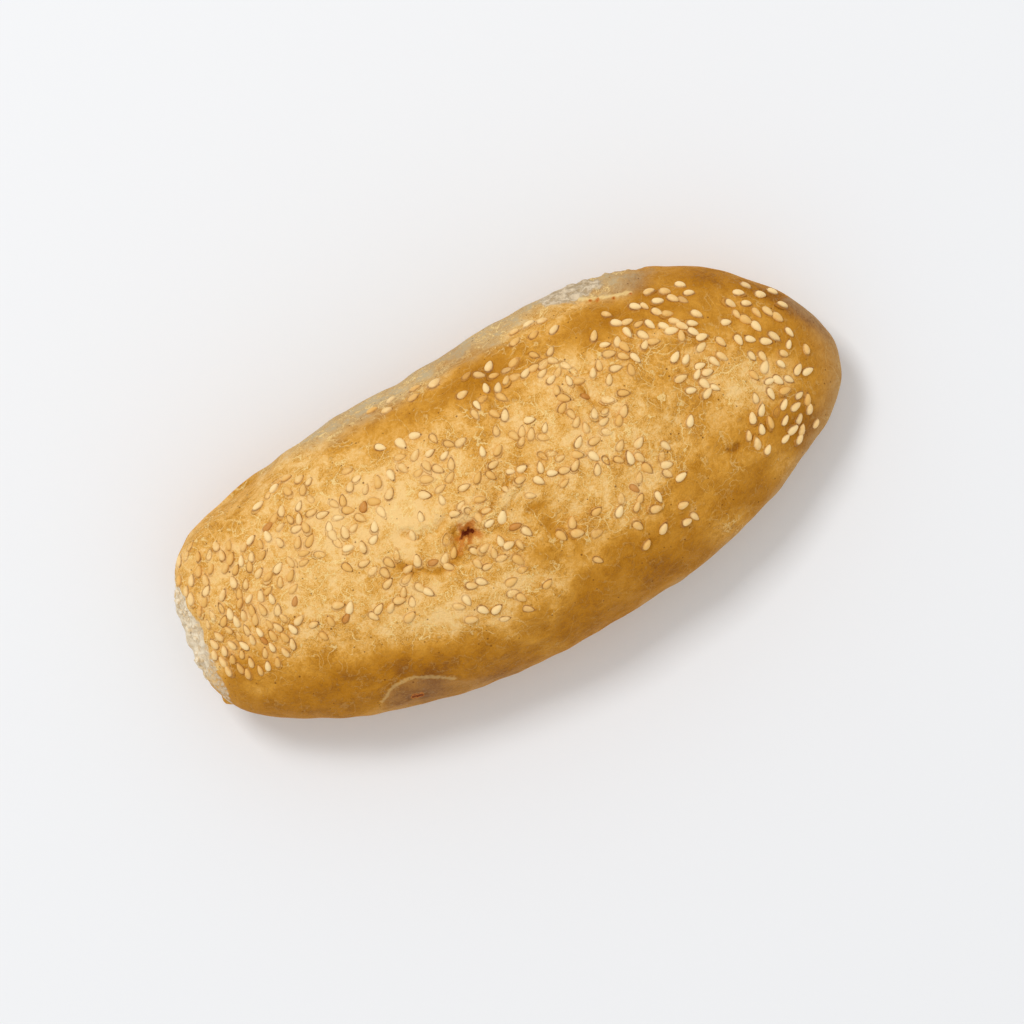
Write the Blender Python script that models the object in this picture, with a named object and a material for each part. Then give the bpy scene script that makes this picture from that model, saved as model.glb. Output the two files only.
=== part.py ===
"""A long sesame bread roll, torn from its neighbour at one end, as one solid.

Metres, +Z up. X runs along the roll from the torn end at -X to the round end at +X, Y runs
across it, and Z = 0 is the flat base that it was baked on and rests on. The origin is in the
middle of that base. The crust is a sphere of squares that is drawn out to the roll's form, then
gets the crust's lumps, dents, side split and torn end. The seeds are fused to the crust.
"""

import math
import random
from dataclasses import dataclass

import bmesh
import bpy
from mathutils import Matrix, Vector, noise
from mathutils.bvhtree import BVHTree

MM = 0.001

# The roll's form. Each curve is (place along X, value), in millimetres.
HALF_LENGTH = 89.5 * MM
HALF_WIDTH_CURVE = ((-89, 59), (-76, 49.5), (-61, 43.6), (-41, 41.0), (0, 39.7), (44, 42.2), (89, 41.5))
MIDDLE_LINE_CURVE = ((-89, 2.4), (-76, 3.2), (-48, 0.5), (-11, -0.9), (19, 0.7), (46, 2.0), (70, 1.2), (89, -2.6))
CROWN_CURVE = ((-89, 43), (-70, 35), (-40, 30.5), (0, 30), (40, 28.5), (89, 26))
BELLY_CURVE = ((-89, 21), (-40, 20), (30, 20), (89, 16.5))
BASE_DEPTH = 27 * MM
BASE_EDGE_SOFTNESS = 3 * MM
BASE_END_POWER = 0.58
CROWN_POWER = 0.94
SIDE_POWER = 0.8
QUADS_ALONG_CUBE_EDGE = 15
FINER_ROUNDS = 2

# The crust's own relief.
LUMP_SIZE = 21 * MM
LUMP_HEIGHT = 0.9 * MM
RELIEF_STARTS_AT = 4 * MM
RELIEF_FULL_AT = 12 * MM


@dataclass(frozen=True)
class Dent:
    """A soft hollow in the crown, or a swelling where its depth is negative, in millimetres."""

    x: float
    y: float
    half_length: float
    half_width: float
    turn_deg: float
    depth: float


DENTS = (
    Dent(x=-14, y=-3, half_length=6, half_width=4.5, turn_deg=20, depth=1.9),
    Dent(x=-2, y=4, half_length=13, half_width=4, turn_deg=28, depth=0.7),
    Dent(x=-27, y=3, half_length=15, half_width=4, turn_deg=-10, depth=0.5),
    Dent(x=29, y=12, half_length=9, half_width=4, turn_deg=-50, depth=1.0),
    Dent(x=8, y=-9, half_length=11, half_width=6, turn_deg=-35, depth=0.8),
    Dent(x=44, y=11, half_length=7, half_width=10, turn_deg=0, depth=0.7),
    Dent(x=-25, y=-18, half_length=24, half_width=8, turn_deg=-14, depth=-0.9),
    Dent(x=-10, y=-27, half_length=14, half_width=6, turn_deg=-12, depth=-0.8),
    Dent(x=66, y=1, half_length=14, half_width=12, turn_deg=0, depth=-0.6),
    Dent(x=-57, y=33, half_length=15, half_width=7, turn_deg=0, depth=1.3),
)

# The side split, a paler band below the top crust on the +Y side.
SPLIT_FROM_X = -52 * MM
SPLIT_TO_X = 56 * MM
SPLIT_FADE = 14 * MM
SPLIT_LOW_Z = 19 * MM
SPLIT_HIGH_Z = 36 * MM
SPLIT_DEPTH = 1.1 * MM

# The deepest dent is the burnt crack in the middle of the crown.
CRACK = DENTS[0]

# Where crumb shows: the end face, and a patch on the side split.
TORN_END_X = -81 * MM
TORN_END_MIDDLE = Vector((0, 7.5 * MM, 20 * MM))
TORN_END_HALF_WIDTH = 14 * MM
TORN_END_HALF_HEIGHT = 14.5 * MM
TORN_END_SWELL = -0.6 * MM
TORN_PATCH_MIDDLE = Vector((45 * MM, 38 * MM, 24.5 * MM))
TORN_PATCH_RADIUS = 11.5 * MM
TORN_PATCH_ROUGHNESS = 0.5
CRAG_SIZE = 3.2 * MM
CRAG_HEIGHT = 1.1 * MM
EDGE_SOFTNESS = 0.25


@dataclass(frozen=True)
class SeedPatch:
    """An oval of crust with seeds strewn on it, seen from above, in millimetres.

    The seeds lie about the grain direction, give or take the spread.
    """

    x: float
    y: float
    half_length: float
    half_width: float
    count: int
    grain_deg: float = 0
    spread_deg: float = 90


SEED_PATCHES = (
    SeedPatch(x=-76, y=15, half_length=8, half_width=12, count=30, grain_deg=60, spread_deg=30),
    SeedPatch(x=-73, y=-2, half_length=11, half_width=8, count=36, grain_deg=85, spread_deg=30),
    SeedPatch(x=-63, y=12, half_length=8, half_width=12, count=24, grain_deg=60, spread_deg=45),
    SeedPatch(x=-50, y=24, half_length=9, half_width=8, count=20, grain_deg=50, spread_deg=60),
    SeedPatch(x=-46, y=12, half_length=8, half_width=7, count=12),
    SeedPatch(x=-54, y=-5, half_length=8, half_width=5, count=7),
    SeedPatch(x=-36, y=14, half_length=7, half_width=10, count=13),
    SeedPatch(x=-35, y=-6, half_length=11, half_width=9, count=18),
    SeedPatch(x=-20, y=17, half_length=14, half_width=8, count=17),
    SeedPatch(x=-11, y=10, half_length=6, half_width=12, count=12),
    SeedPatch(x=-12, y=-7, half_length=11, half_width=8, count=17),
    SeedPatch(x=-13, y=-20, half_length=12, half_width=7, count=15, grain_deg=-30, spread_deg=60),
    SeedPatch(x=-14, y=33, half_length=13, half_width=2, count=6, grain_deg=10, spread_deg=30),
    SeedPatch(x=6, y=27, half_length=6, half_width=9, count=13),
    SeedPatch(x=22, y=28, half_length=9, half_width=8, count=19, grain_deg=-10, spread_deg=60),
    SeedPatch(x=28, y=11, half_length=9, half_width=10, count=22),
    SeedPatch(x=41, y=21, half_length=7, half_width=8, count=14),
    SeedPatch(x=54, y=23, half_length=10, half_width=7, count=20, grain_deg=-40, spread_deg=35),
    SeedPatch(x=57, y=7, half_length=7, half_width=9, count=17),
    SeedPatch(x=75, y=10, half_length=9, half_width=11, count=23, grain_deg=-50, spread_deg=40),
    SeedPatch(x=72, y=-3, half_length=10, half_width=6, count=13),
    SeedPatch(x=68, y=-15, half_length=10, half_width=6, count=20, grain_deg=50, spread_deg=50),
    SeedPatch(x=8, y=1, half_length=9, half_width=6, count=9),
    SeedPatch(x=30, y=-10, half_length=11, half_width=10, count=20),
    SeedPatch(x=25, y=-24, half_length=16, half_width=4, count=7),
    SeedPatch(x=12, y=-13, half_length=7, half_width=6, count=5),
    SeedPatch(x=0, y=3, half_length=76, half_width=24, count=14),
    SeedPatch(x=6, y=11, half_length=11, half_width=9, count=10),
    SeedPatch(x=18, y=4, half_length=8, half_width=8, count=8),
)
SCATTER_SEED = 7
SEED_LENGTH = 3.15
SEED_LENGTH_SPREAD = 0.22
SEED_GAP = 2.15
CRACK_BARE_RADIUS = 4.2
TRIES_A_SEED = 60
FUSED_SEEDS = 215
FUSED_SEED_GAP = 3.0
SEED_WIDTH_SHARE = 0.58
SEED_THICKNESS = 1.0 * MM
SEED_SUNK = 0.08 * MM
SEED_TAPER = 0.28
SEED_SIDES = 5
SEED_RINGS = 4

CRUST_COLOUR = (0.62, 0.33, 0.10, 1.0)


def curve_value(points, x):
    """The height at x of a smooth curve through points, each (place, value), in millimetres."""
    place = min(max(x / MM, points[0][0]), points[-1][0])
    right = next(i for i in range(1, len(points)) if place <= points[i][0])
    left = right - 1

    def slope(i):
        before, after = points[max(i - 1, 0)], points[min(i + 1, len(points) - 1)]
        return (after[1] - before[1]) / (after[0] - before[0])

    run = points[right][0] - points[left][0]
    t = (place - points[left][0]) / run
    value = (
        points[left][1] * (2 * t**3 - 3 * t**2 + 1)
        + points[right][1] * (3 * t**2 - 2 * t**3)
        + slope(left) * run * (t**3 - 2 * t**2 + t)
        + slope(right) * run * (t**3 - t**2)
    )
    return value * MM


def smooth_step(low, high, value):
    """0 below low, 1 above high and a smooth rise between."""
    t = min(max((value - low) / (high - low), 0), 1)
    return t * t * (3 - 2 * t)


def above_base(z):
    """The height z held at or above the base, with the base's edge rounded off."""
    if z > BASE_EDGE_SOFTNESS:
        return z
    return max(z + BASE_EDGE_SOFTNESS, 0) ** 2 / (4 * BASE_EDGE_SOFTNESS)


def point_on_form(direction):
    """The point of the smooth roll that a point of the unit sphere is drawn out to."""
    x = HALF_LENGTH * direction.x
    middle, belly = curve_value(MIDDLE_LINE_CURVE, x), curve_value(BELLY_CURVE, x)
    closing = math.hypot(direction.y, direction.z)
    if closing < 1e-6:
        return Vector((x, middle, belly))
    across, up = direction.y / closing, direction.z / closing
    half_width = curve_value(HALF_WIDTH_CURVE, x) * closing
    if up >= 0:
        side = math.copysign(abs(across) ** CROWN_POWER, across)
        z = belly + curve_value(CROWN_CURVE, x) * closing * up**CROWN_POWER
    else:
        side = math.copysign(abs(across) ** SIDE_POWER, across)
        z = belly - BASE_DEPTH * closing**BASE_END_POWER * abs(up) ** CROWN_POWER
    return Vector((x, middle + half_width * side, above_base(z)))


def crags(point):
    """Torn crumb's uneven height, from -1 to 1."""
    return noise.noise(point / CRAG_SIZE) + 0.5 * noise.noise(point / CRAG_SIZE * 2.1)


def torn_share(point):
    """How rough with torn crumb a point is, from 0 to 1."""
    off = point - TORN_END_MIDDLE
    ragged = 0.16 * noise.noise(point / (2 * CRAG_SIZE))
    in_end = math.hypot(off.y / TORN_END_HALF_WIDTH, off.z / TORN_END_HALF_HEIGHT) + ragged
    end = smooth_step(1 + EDGE_SOFTNESS, 1 - EDGE_SOFTNESS, in_end) if point.x < TORN_END_X else 0
    in_patch = (point - TORN_PATCH_MIDDLE).length / TORN_PATCH_RADIUS + ragged
    patch = smooth_step(1 + EDGE_SOFTNESS, 1 - EDGE_SOFTNESS, in_patch)
    return max(end, TORN_PATCH_ROUGHNESS * patch)


def split_depth(point):
    """How far the side split lies under the top crust's surface at a point."""
    if point.y < 0:
        return 0
    along = smooth_step(SPLIT_FROM_X, SPLIT_FROM_X + SPLIT_FADE, point.x)
    along *= smooth_step(SPLIT_TO_X, SPLIT_TO_X - SPLIT_FADE, point.x)
    up = (point.z - SPLIT_LOW_Z) / (SPLIT_HIGH_Z - SPLIT_LOW_Z)
    if not 0 < up < 1:
        return 0
    # This cubic is 0 at both edges and 1 at three quarters of the way up, near the lip.
    return SPLIT_DEPTH * along * up**3 * (1 - up) * 256 / 27


def dent_depth(point):
    """How far the dents lower the crown at a point."""
    depth = 0
    for dent in DENTS:
        off = Matrix.Rotation(-math.radians(dent.turn_deg), 2) @ Vector((point.x / MM - dent.x, point.y / MM - dent.y))
        reach = (off.x / dent.half_length) ** 2 + (off.y / dent.half_width) ** 2
        if reach < 1:
            depth += dent.depth * MM * (1 - reach) ** 2
    return depth


def relief(point):
    """How far the crust stands out of the smooth form at a point."""
    lumps = noise.noise(point / LUMP_SIZE) + 0.45 * noise.noise(point / LUMP_SIZE * 2.3)
    height = LUMP_HEIGHT * lumps - split_depth(point)
    if point.z > curve_value(BELLY_CURVE, point.x):
        height -= dent_depth(point)
    height += torn_share(point) * (TORN_END_SWELL + CRAG_HEIGHT * crags(point))
    return height * smooth_step(RELIEF_STARTS_AT, RELIEF_FULL_AT, point.z)


def is_fine(direction):
    """Whether the form has small relief where a point of the unit sphere is drawn out to."""
    point = point_on_form(direction)
    off_crack = math.hypot(point.x / MM - CRACK.x, point.y / MM - CRACK.y)
    in_crack = off_crack < CRACK.half_length and point.z > BASE_DEPTH
    return in_crack or torn_share(point) > 0.1


def make_crust():
    """The roll without its seeds, as a bmesh."""
    crust = bmesh.new()
    bmesh.ops.create_cube(crust, size=2)
    bmesh.ops.subdivide_edges(crust, edges=crust.edges[:], cuts=QUADS_ALONG_CUBE_EDGE - 1, use_grid_fill=True)
    for _ in range(FINER_ROUNDS):
        fine = [face for face in crust.faces if is_fine(face.calc_center_median().normalized())]
        edges = list({edge for face in fine for edge in face.edges})
        bmesh.ops.subdivide_edges(crust, edges=edges, cuts=1, use_grid_fill=True)
    for vertex in crust.verts:
        vertex.co = point_on_form(vertex.co.normalized())
    crust.normal_update()
    moves = [(vertex, vertex.normal * relief(vertex.co)) for vertex in crust.verts]
    for vertex, move in moves:
        vertex.co += move
    base_faces = [face for face in crust.faces if all(vertex.co.z < 1e-6 for vertex in face.verts)]
    bmesh.ops.dissolve_faces(crust, faces=base_faces)
    bmesh.ops.triangulate(crust, faces=crust.faces[:])
    crust.normal_update()
    return crust


def strew_seeds():
    """Each seed's place from above, direction and length, largest first, as (x, y, turn, length)."""
    draw = random.Random(SCATTER_SEED)
    seeds = []
    for patch in SEED_PATCHES:
        left = patch.count
        for _ in range(patch.count * TRIES_A_SEED):
            if not left:
                break
            angle, out = draw.uniform(0, math.tau), math.sqrt(draw.random())
            x = patch.x + patch.half_length * out * math.cos(angle)
            y = patch.y + patch.half_width * out * math.sin(angle)
            turn = math.radians(patch.grain_deg + draw.uniform(-1, 1) * patch.spread_deg)
            length = draw.gauss(SEED_LENGTH, SEED_LENGTH_SPREAD)
            clear = math.hypot(x - CRACK.x, y - CRACK.y) > CRACK_BARE_RADIUS
            if clear and all(math.hypot(x - seed[0], y - seed[1]) > SEED_GAP for seed in seeds):
                seeds.append((x, y, turn, length))
                left -= 1
    return sorted(seeds, key=lambda seed: -seed[3])


def fused_seeds():
    """The seeds that are solid here: the largest, clear of each other."""
    kept = []
    for seed in strew_seeds():
        if all(math.hypot(seed[0] - other[0], seed[1] - other[1]) > FUSED_SEED_GAP for other in kept):
            kept.append(seed)
    return kept[:FUSED_SEEDS]


def make_seed_mesh():
    """A seed of unit length as a mesh: flat, pointed at +X and round at -X."""
    seed = bmesh.new()
    bmesh.ops.create_uvsphere(seed, u_segments=SEED_SIDES, v_segments=SEED_RINGS, radius=0.5)
    for vertex in seed.verts:
        vertex.co.y *= SEED_WIDTH_SHARE * (1 - SEED_TAPER * 2 * vertex.co.x)
    mesh = bpy.data.meshes.new("seed")
    seed.to_mesh(mesh)
    seed.free()
    return mesh


def seed_matrix(seed, hit, normal):
    """Lays a unit seed on the crust at a hit point, along its own turn."""
    _, _, turn, length = seed
    along = Vector((math.cos(turn), math.sin(turn), 0))
    along = (along - along.dot(normal) * normal).normalized()
    lay = Matrix((along, normal.cross(along), normal)).transposed().to_4x4()
    size = Matrix.Diagonal((length * MM, length * MM, SEED_THICKNESS, 1))
    return Matrix.Translation(hit - normal * SEED_SUNK) @ lay @ size


def place_seeds(crust, collection):
    """Puts the fused seeds on the crust as objects of the collection."""
    surface = BVHTree.FromBMesh(crust)
    seed_mesh = make_seed_mesh()
    for number, seed in enumerate(fused_seeds()):
        hit, normal, _, _ = surface.ray_cast(Vector((seed[0] * MM, seed[1] * MM, 1)), Vector((0, 0, -1)))
        if hit is None:
            continue
        seed_object = bpy.data.objects.new(f"seed_{number:03d}", seed_mesh.copy())
        seed_object.data.transform(seed_matrix(seed, hit, normal))
        collection.objects.link(seed_object)


def fuse(roll, collection):
    """Joins the collection's seeds to the roll with one union, and removes them."""
    union = roll.modifiers.new("fuse_seeds", "BOOLEAN")
    union.operation = "UNION"
    union.operand_type = "COLLECTION"
    union.collection = collection
    union.solver = "EXACT"
    bpy.context.view_layer.objects.active = roll
    bpy.ops.object.modifier_apply(modifier=union.name)
    for seed_object in list(collection.objects):
        bpy.data.objects.remove(seed_object)
    bpy.data.collections.remove(collection)


def make_material():
    """Golden crust, for the whole roll."""
    material = bpy.data.materials.new("crust")
    material.use_nodes = True
    shader = material.node_tree.nodes["Principled BSDF"]
    shader.inputs["Base Color"].default_value = CRUST_COLOUR
    shader.inputs["Roughness"].default_value = 0.55
    shader.inputs["Metallic"].default_value = 0.0
    return material


def main():
    for old in list(bpy.data.objects):
        bpy.data.objects.remove(old)
    part = bpy.data.collections.new("bread_roll")
    seeds = bpy.data.collections.new("seeds")
    bpy.context.scene.collection.children.link(part)
    bpy.context.scene.collection.children.link(seeds)

    crust = make_crust()
    mesh = bpy.data.meshes.new("bread_roll")
    crust.to_mesh(mesh)
    roll = bpy.data.objects.new("bread_roll", mesh)
    roll.data.materials.append(make_material())
    part.objects.link(roll)
    place_seeds(crust, seeds)
    crust.free()
    fuse(roll, seeds)
    roll.data.shade_smooth()
    roll.data.set_sharp_from_angle(angle=math.radians(40))


main()
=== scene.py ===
"""Dresses the long sesame roll: crust, torn crumb and seeds, on a pale studio floor.

Everything is in metres in the CAD's frame: X runs from the torn end at -X to the round end at
+X, Y across the roll toward its side split, and Z up from the flat base.
"""

import logging
import math
import random
from collections.abc import Callable
from dataclasses import dataclass, field
from enum import Enum

import bpy
from mathutils import Matrix, Quaternion, Vector, noise
from mathutils.bvhtree import BVHTree


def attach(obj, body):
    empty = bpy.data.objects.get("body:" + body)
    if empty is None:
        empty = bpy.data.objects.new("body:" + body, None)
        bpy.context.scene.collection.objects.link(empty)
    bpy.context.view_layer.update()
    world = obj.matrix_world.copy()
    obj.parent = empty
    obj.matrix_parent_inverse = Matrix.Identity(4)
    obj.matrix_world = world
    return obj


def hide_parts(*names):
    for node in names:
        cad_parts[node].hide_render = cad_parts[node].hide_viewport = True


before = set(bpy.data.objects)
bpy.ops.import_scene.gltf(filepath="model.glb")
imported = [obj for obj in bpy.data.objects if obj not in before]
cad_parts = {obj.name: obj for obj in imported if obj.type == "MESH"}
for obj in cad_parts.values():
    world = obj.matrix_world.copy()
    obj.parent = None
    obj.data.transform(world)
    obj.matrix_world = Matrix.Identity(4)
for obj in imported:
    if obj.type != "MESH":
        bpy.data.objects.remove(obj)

LOG = logging.getLogger("bread_roll")
MM = 0.001
BODY = "root"
NODE = "bread_roll"
PAIR = tuple[float, float]
CURVE = tuple[PAIR, ...]
RGBA = tuple[float, float, float, float]
INPUTS = dict[str | int, object]


class Slot(Enum):
    """Names of the material slots."""

    CRUST = "crust"
    SESAME = "sesame"
    CRUMB = "crumb"


class Trait(Enum):
    """What a point of the crust or of a seed is like. Each is a mesh attribute from 0 to 1."""

    # Browning, with painted shade in the crust's creases and painted light on its ridges.
    BAKE_AND_RELIEF_SHADE = "bake"
    SKIN = "pale_skin"
    CRUMB = "torn_crumb"
    PATCH = "torn_patch"
    BURN = "burn"
    PULL = "pulled_skin"
    LIP = "pale_lip"
    OWN_COLOUR = "own_colour"
    # A seed's dark rim, partly browning and partly painted contact shade round the seed.
    OUTLINE_AND_CONTACT_SHADE = "rim"
    TIP = "tip"
    TOAST = "toast"


def smooth_step(low: float, high: float, value: float) -> float:
    """Rises smoothly from 0 to 1.

    Args:
        low: The value where it is 0.
        high: The value where it is 1, above or below low.
        value: The value to look up.

    Returns:
        The height of the step at the value.
    """
    t = min(max((value - low) / (high - low), 0.0), 1.0)
    return t * t * (3 - 2 * t)


def curve_value(points: CURVE, place: float) -> float:
    """Reads a smooth curve through points.

    Args:
        points: The curve's points, each (place, value), in order of place.
        place: Where to read it.

    Returns:
        The curve's value there.
    """
    place = min(max(place, points[0][0]), points[-1][0])
    right = next(i for i in range(1, len(points)) if place <= points[i][0])
    left = right - 1

    def slope(i: int) -> float:
        """The curve's slope at point i."""
        before, after = points[max(i - 1, 0)], points[min(i + 1, len(points) - 1)]
        return (after[1] - before[1]) / (after[0] - before[0])

    run = points[right][0] - points[left][0]
    t = (place - points[left][0]) / run
    return (
        points[left][1] * (2 * t**3 - 3 * t**2 + 1)
        + points[right][1] * (3 * t**2 - 2 * t**3)
        + slope(left) * run * (t**3 - 2 * t**2 + t)
        + slope(right) * run * (t**3 - t**2)
    )


def waves(point: Vector, shape: CURVE) -> float:
    """Sums noises at a point in mm, whose shape gives each one's height and the size of its waves."""
    return sum(height * noise.noise(point / size) for height, size in shape)


def to_edges(x: float, y: float, line: CURVE) -> float:
    """The distance in mm from (x, y) to a line of points seen from above.

    Args:
        x: The place along the roll, in mm.
        y: The place across it, in mm.
        line: The line's corners.

    Returns:
        The shortest distance to it.
    """
    best = math.inf
    for (ax, ay), (bx, by) in zip(line, line[1:], strict=False):
        dx, dy = bx - ax, by - ay
        t = min(max(((x - ax) * dx + (y - ay) * dy) / (dx * dx + dy * dy), 0.0), 1.0)
        best = min(best, math.hypot(x - ax - t * dx, y - ay - t * dy))
    return best


@dataclass(frozen=True)
class Spot:
    """A soft oval place on the crown, in mm, with what it does there at full strength."""

    x: float
    y: float
    half_length: float
    half_width: float
    turn_deg: float
    amount: float

    def at(self, x: float, y: float) -> float:
        """What it does at (x, y), in mm.

        Args:
            x: The place along the roll, in mm.
            y: The place across the roll, in mm.

        Returns:
            The amount, 0 outside the oval.
        """
        turn = math.radians(self.turn_deg)
        dx, dy = x - self.x, y - self.y
        along = (dx * math.cos(turn) + dy * math.sin(turn)) / self.half_length
        across = (dy * math.cos(turn) - dx * math.sin(turn)) / self.half_width
        reach = along * along + across * across
        return self.amount * (1 - reach) ** 2 if reach < 1 else 0.0


def make_spots(*rows: tuple[float, ...]) -> tuple[Spot, ...]:
    """Makes a spot of each row of x, y, half length, half width, turn and amount."""
    return tuple(Spot(*row) for row in rows)


@dataclass(frozen=True)
class Crease:
    """A fold in the crust along a line seen from above, in mm, raised where its height is positive."""

    line: CURVE
    width: float
    height: float

    def at(self, x: float, y: float) -> float:
        """How far it lifts the crust at (x, y), in mm.

        Args:
            x: The place along the roll, in mm.
            y: The place across the roll, in mm.

        Returns:
            The height in mm.
        """
        if not self.line[0][0] - 6 < x < self.line[-1][0] + 6:
            return 0.0
        off = to_edges(x, y, self.line) / self.width
        return self.height * math.exp(-off * off) if off < 2.5 else 0.0


@dataclass(frozen=True)
class RollForm:
    """The roll's form, as in the CAD, with its relief at full detail. Sizes are in mm."""

    half_length: float = 89.5
    half_width: CURVE = ((-89, 59), (-76, 49.5), (-61, 43.6), (-41, 41.0), (0, 39.7), (44, 42.2), (89, 41.5))
    middle_line: CURVE = (
        (-89, 2.4), (-76, 3.2), (-48, 0.5), (-11, -0.9), (19, 0.7), (46, 2.0), (70, 1.2), (89, -2.6),
    )
    crown: CURVE = ((-89, 43), (-70, 35), (-40, 30.5), (0, 30), (40, 28.5), (89, 26))
    belly: CURVE = ((-89, 21), (-40, 20), (30, 20), (89, 16.5))
    base_depth: float = 27
    base_edge_softness: float = 3
    base_end_power: float = 0.58
    crown_power: float = 0.94
    side_power: float = 0.8
    lump_size: float = 21
    lump_height: float = 0.9
    blister_size: float = 5.5
    blister_height: float = 0.3
    relief_starts: float = 4
    relief_full: float = 12
    dents: tuple[Spot, ...] = make_spots(
        (-14, -3, 6, 4.5, 20, 1.9), (-2, 4, 13, 4, 28, 0.7), (-27, 3, 15, 4, -10, 0.5),
        (29, 12, 9, 4, -50, 1.0), (8, -9, 11, 6, -35, 0.8), (44, 11, 7, 10, 0, 0.7),
        (4.5, -11, 2.6, 2.0, 80, 0.6), (-25, -18, 24, 8, -14, -0.9), (-10, -27, 14, 6, -12, -0.8),
        (66, 1, 14, 12, 0, -0.6), (-57, 33, 15, 7, 0, 1.3),
    )
    split_x: PAIR = (-52, 56)
    split_fade: float = 14
    split_z: PAIR = (19, 36)
    split_depth: float = 1.1
    torn_end_x: float = -81
    torn_end_middle: PAIR = (7.5, 20)
    torn_end_half: PAIR = (14, 14.5)
    torn_end_sink: float = 0.6
    torn_tail: CURVE = ((-2, 31), (-7, 28.5), (-13, 22))
    torn_tail_half: float = 2.8
    torn_patch_middle: tuple[float, float, float] = (45, 38, 24.5)
    torn_patch_radius: float = 11.5
    torn_patch_roughness: float = 0.7
    torn_edge: float = 0.09
    torn_edge_waves: CURVE = ((0.16, 6.4), (0.07, 1.7))
    flap: tuple[float, float, float] = (-86.6, -12, 18)
    flap_radius: float = 2.6
    flap_height: float = 1.3
    crag_size: float = 3.2
    crag_height: float = 1.1
    fine_crag_size: float = 1.1
    fine_crag_height: float = 0.22
    crack: PAIR = (-14, -3)
    crack_reach: float = 6
    crack_deepest: float = 1.2
    wrinkle_middle: Spot = Spot(-8, -1, 20, 9, 24, 1.0)
    wrinkle_depth: float = 0.55
    creases: tuple[Crease, ...] = (
        Crease(((-27.3, 5.7), (-24.4, 3.9), (-21.6, 3.1), (-19.1, 3.3), (-17.8, 4.9)), 1.2, 0.75),
        Crease(((-28.5, 3.4), (-24.5, 1.6), (-20.5, 1.0), (-17.2, 2.2)), 0.8, -0.4),
        Crease(
            (
                (-32.9, -2.4), (-29.9, -5.6), (-26, -7.2), (-22.1, -8.7), (-19.1, -7), (-17.8, -4),
                (-16.6, -0.8),
            ),
            1.0,
            -0.6,
        ),
        Crease(((-9.5, -3.2), (-7, -2.1), (-4.2, -1.2), (-0.5, 0.5), (3, 1.8)), 1.1, 0.65),
        Crease(((-9, -1.2), (-6, 0.4), (-2.5, 2), (1, 3.5)), 0.9, -0.55),
        Crease(((1.1, -5.4), (3, -4.9), (5.3, -5.5)), 0.8, -0.45),
        Crease(((-14.9, -9.2), (-12.5, -9.1), (-10.3, -9.3)), 0.7, 0.4),
        Crease(((27, 16), (28, 12), (31, 8), (33, 5)), 0.9, -0.5),
        Crease(((4, -13), (8, -15), (9, -20)), 0.9, -0.35),
        Crease(((52.8, -15), (54, -15.7), (55.2, -14.8)), 0.55, -0.6),
        Crease(((-45.5, -32.6), (-44, -33.0), (-41.8, -33.9)), 0.6, -0.5),
        Crease(
            (
                (-19.5, -25.1), (-17.1, -27.7), (-15.3, -31.5), (-12.2, -34.4), (-8, -35.3), (-5.5, -33.3),
                (-3.6, -30.1),
            ),
            0.7,
            0.3,
        ),
    )

    def above_base(self, z: float) -> float:
        """The height z held at or above the base, with the base's edge rounded off.

        Args:
            z: The height, in mm.

        Returns:
            The rounded height, in mm.
        """
        if z > self.base_edge_softness:
            return z
        return max(z + self.base_edge_softness, 0) ** 2 / (4 * self.base_edge_softness)

    def draw_out(self, direction: Vector) -> Vector:
        """Draws a point of the unit sphere out to the smooth roll.

        Args:
            direction: The point of the sphere.

        Returns:
            The roll's point, in mm.
        """
        x = self.half_length * direction.x
        middle, belly = curve_value(self.middle_line, x), curve_value(self.belly, x)
        closing = math.hypot(direction.y, direction.z)
        if closing < 1e-6:
            return Vector((x, middle, belly))
        across, up = direction.y / closing, direction.z / closing
        half_width = curve_value(self.half_width, x) * closing
        if up >= 0:
            side = math.copysign(abs(across) ** self.crown_power, across)
            z = belly + curve_value(self.crown, x) * closing * up**self.crown_power
        else:
            side = math.copysign(abs(across) ** self.side_power, across)
            z = belly - self.base_depth * closing**self.base_end_power * abs(up) ** self.crown_power
        return Vector((x, middle + half_width * side, self.above_base(z)))

    def ragged(self, point: Vector) -> float:
        """How far the edge of a torn place wanders there, as a share of its size."""
        return waves(point, self.torn_edge_waves)

    def torn_end(self, point: Vector) -> float:
        """How far a point lies in the torn end: 0 on crust, 1 on crumb and between at the ragged edge.

        Args:
            point: The point, in mm.

        Returns:
            The share of crumb.
        """
        if point.x > self.torn_end_x:
            return 0.0
        across = (point.y - self.torn_end_middle[0]) / self.torn_end_half[0]
        up = (point.z - self.torn_end_middle[1]) / self.torn_end_half[1]
        ragged = self.ragged(point)
        main = smooth_step(1 + self.torn_edge, 1 - self.torn_edge, math.hypot(across, up) + ragged)
        off_tail = to_edges(point.y, point.z, self.torn_tail) / self.torn_tail_half
        return max(main, 0.5 * smooth_step(1.2, 0.7, off_tail + 2 * ragged))

    def torn_patch(self, point: Vector) -> float:
        """How far a point lies in the torn patch on the side, from 0 to 1.

        Args:
            point: The point, in mm.

        Returns:
            The share of torn skin.
        """
        if point.y < 20:
            return 0.0
        off = (point - Vector(self.torn_patch_middle)).length / self.torn_patch_radius
        return smooth_step(1 + self.torn_edge, 1 - self.torn_edge, off + self.ragged(point))

    def split(self, point: Vector) -> float:
        """How far a point lies in the side split: 0 outside it and 1 in its deepest line.

        Args:
            point: The point, in mm.

        Returns:
            The share of its depth.
        """
        if point.y < 0:
            return 0.0
        along = smooth_step(self.split_x[0], self.split_x[0] + self.split_fade, point.x)
        along *= smooth_step(self.split_x[1], self.split_x[1] - self.split_fade, point.x)
        up = (point.z - self.split_z[0]) / (self.split_z[1] - self.split_z[0])
        if not 0 < up < 1:
            return 0.0
        return along * up**3 * (1 - up) * 256 / 27

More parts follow.
